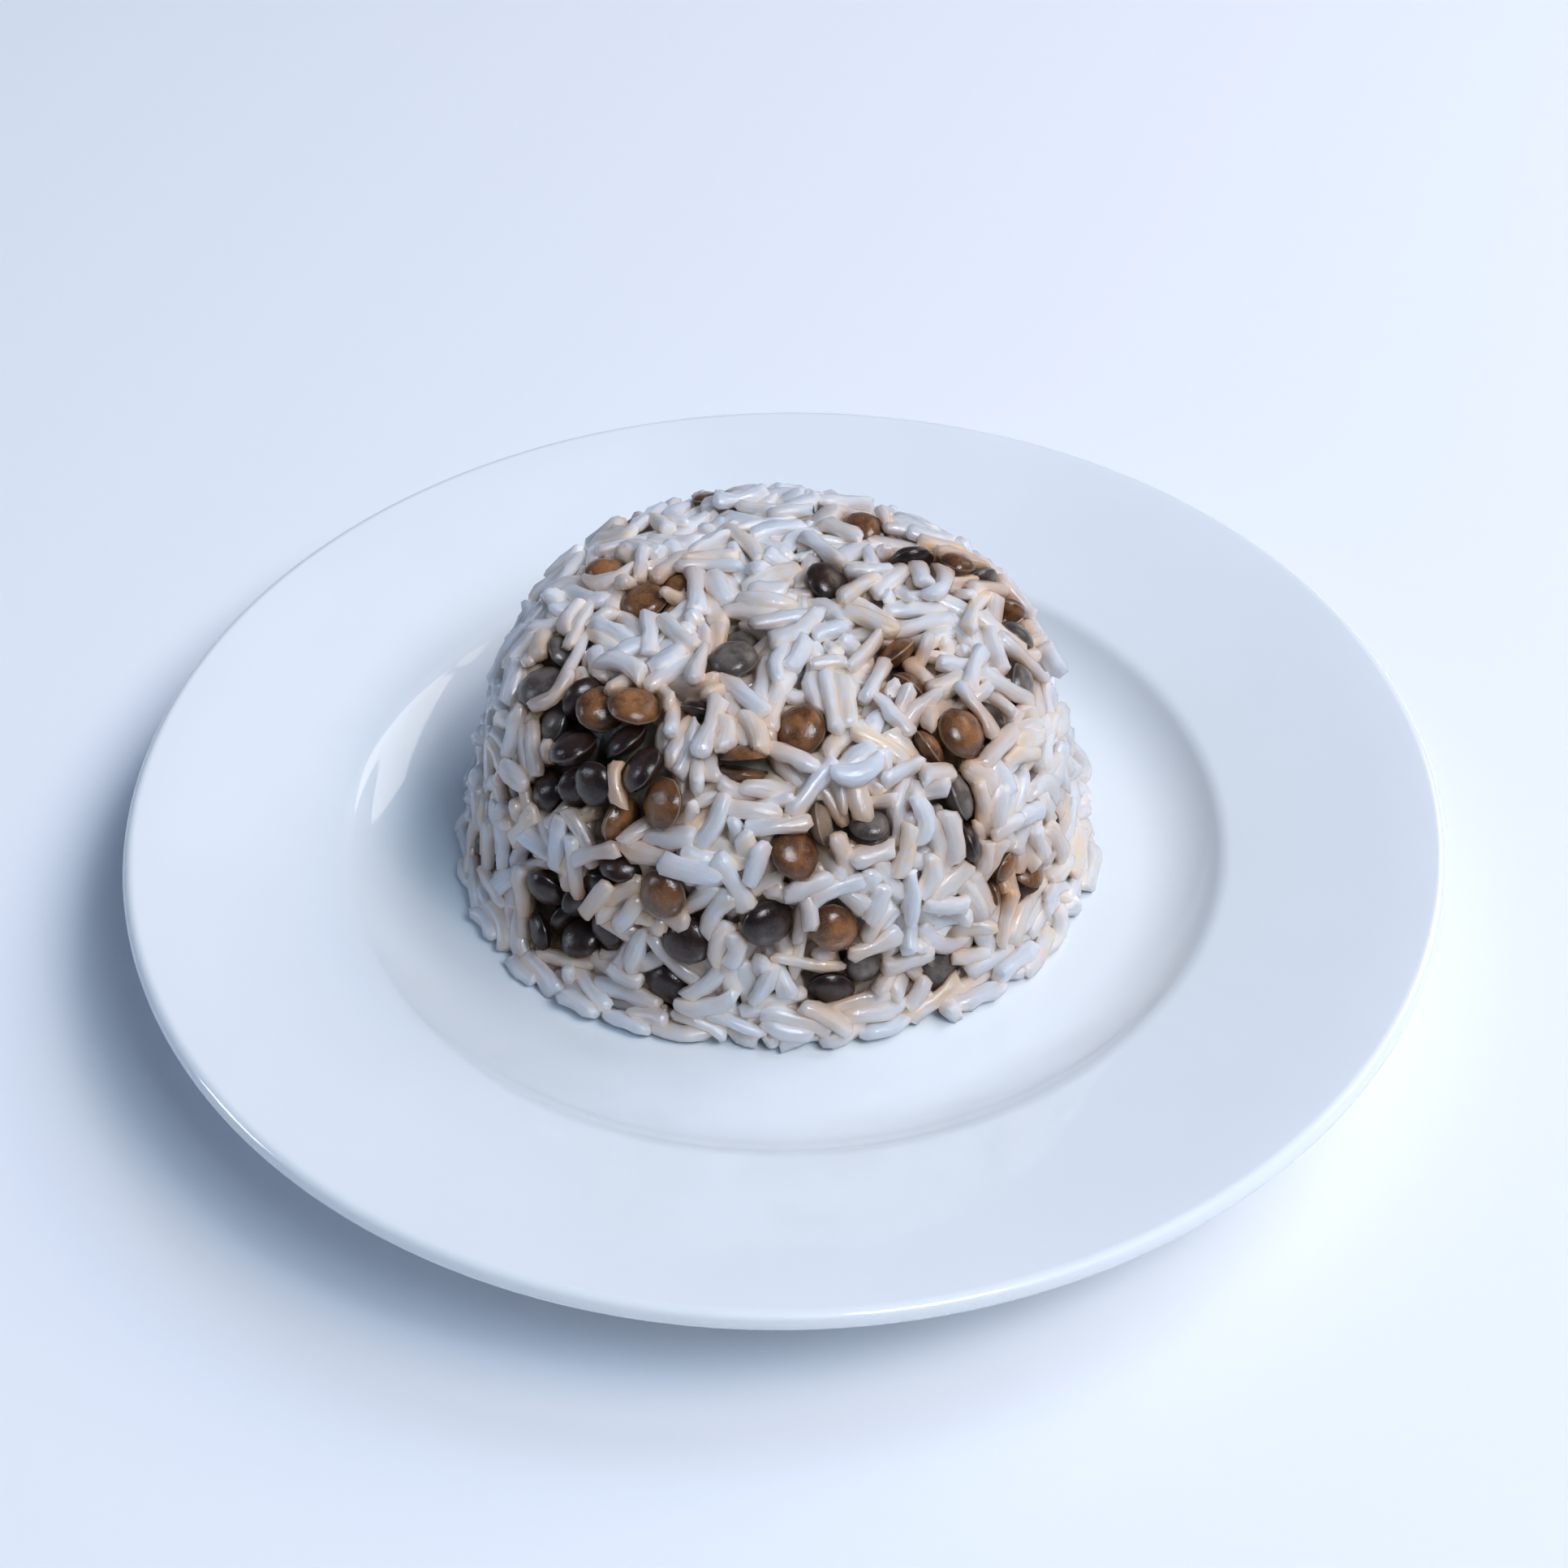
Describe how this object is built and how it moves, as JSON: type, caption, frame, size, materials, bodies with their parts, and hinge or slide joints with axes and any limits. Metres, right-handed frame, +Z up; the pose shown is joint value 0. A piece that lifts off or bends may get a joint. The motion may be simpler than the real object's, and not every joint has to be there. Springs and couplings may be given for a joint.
{
  "type": "plate of rice and lentils",
  "caption": "Boiled white rice mixed with brown lentils, turned out of a round mould onto a rimmed white porcelain plate.",
  "frame": {"origin": "centre of the plate's foot ring, on the surface that the plate stands on", "axes": "+Z up, out of the plate's eating side; -Y towards the front of the serving"},
  "size_m": [0.19, 0.19, 0.0511],
  "materials": {
    "porcelain": "clear glossy glaze over white porcelain",
    "boiled_rice": "moist boiled grains, softly translucent, with glossy brown lentils"
  },
  "bodies": {
    "root": {"plate": "porcelain", "rice_and_lentils": "boiled_rice"}
  },
  "joints": []
}
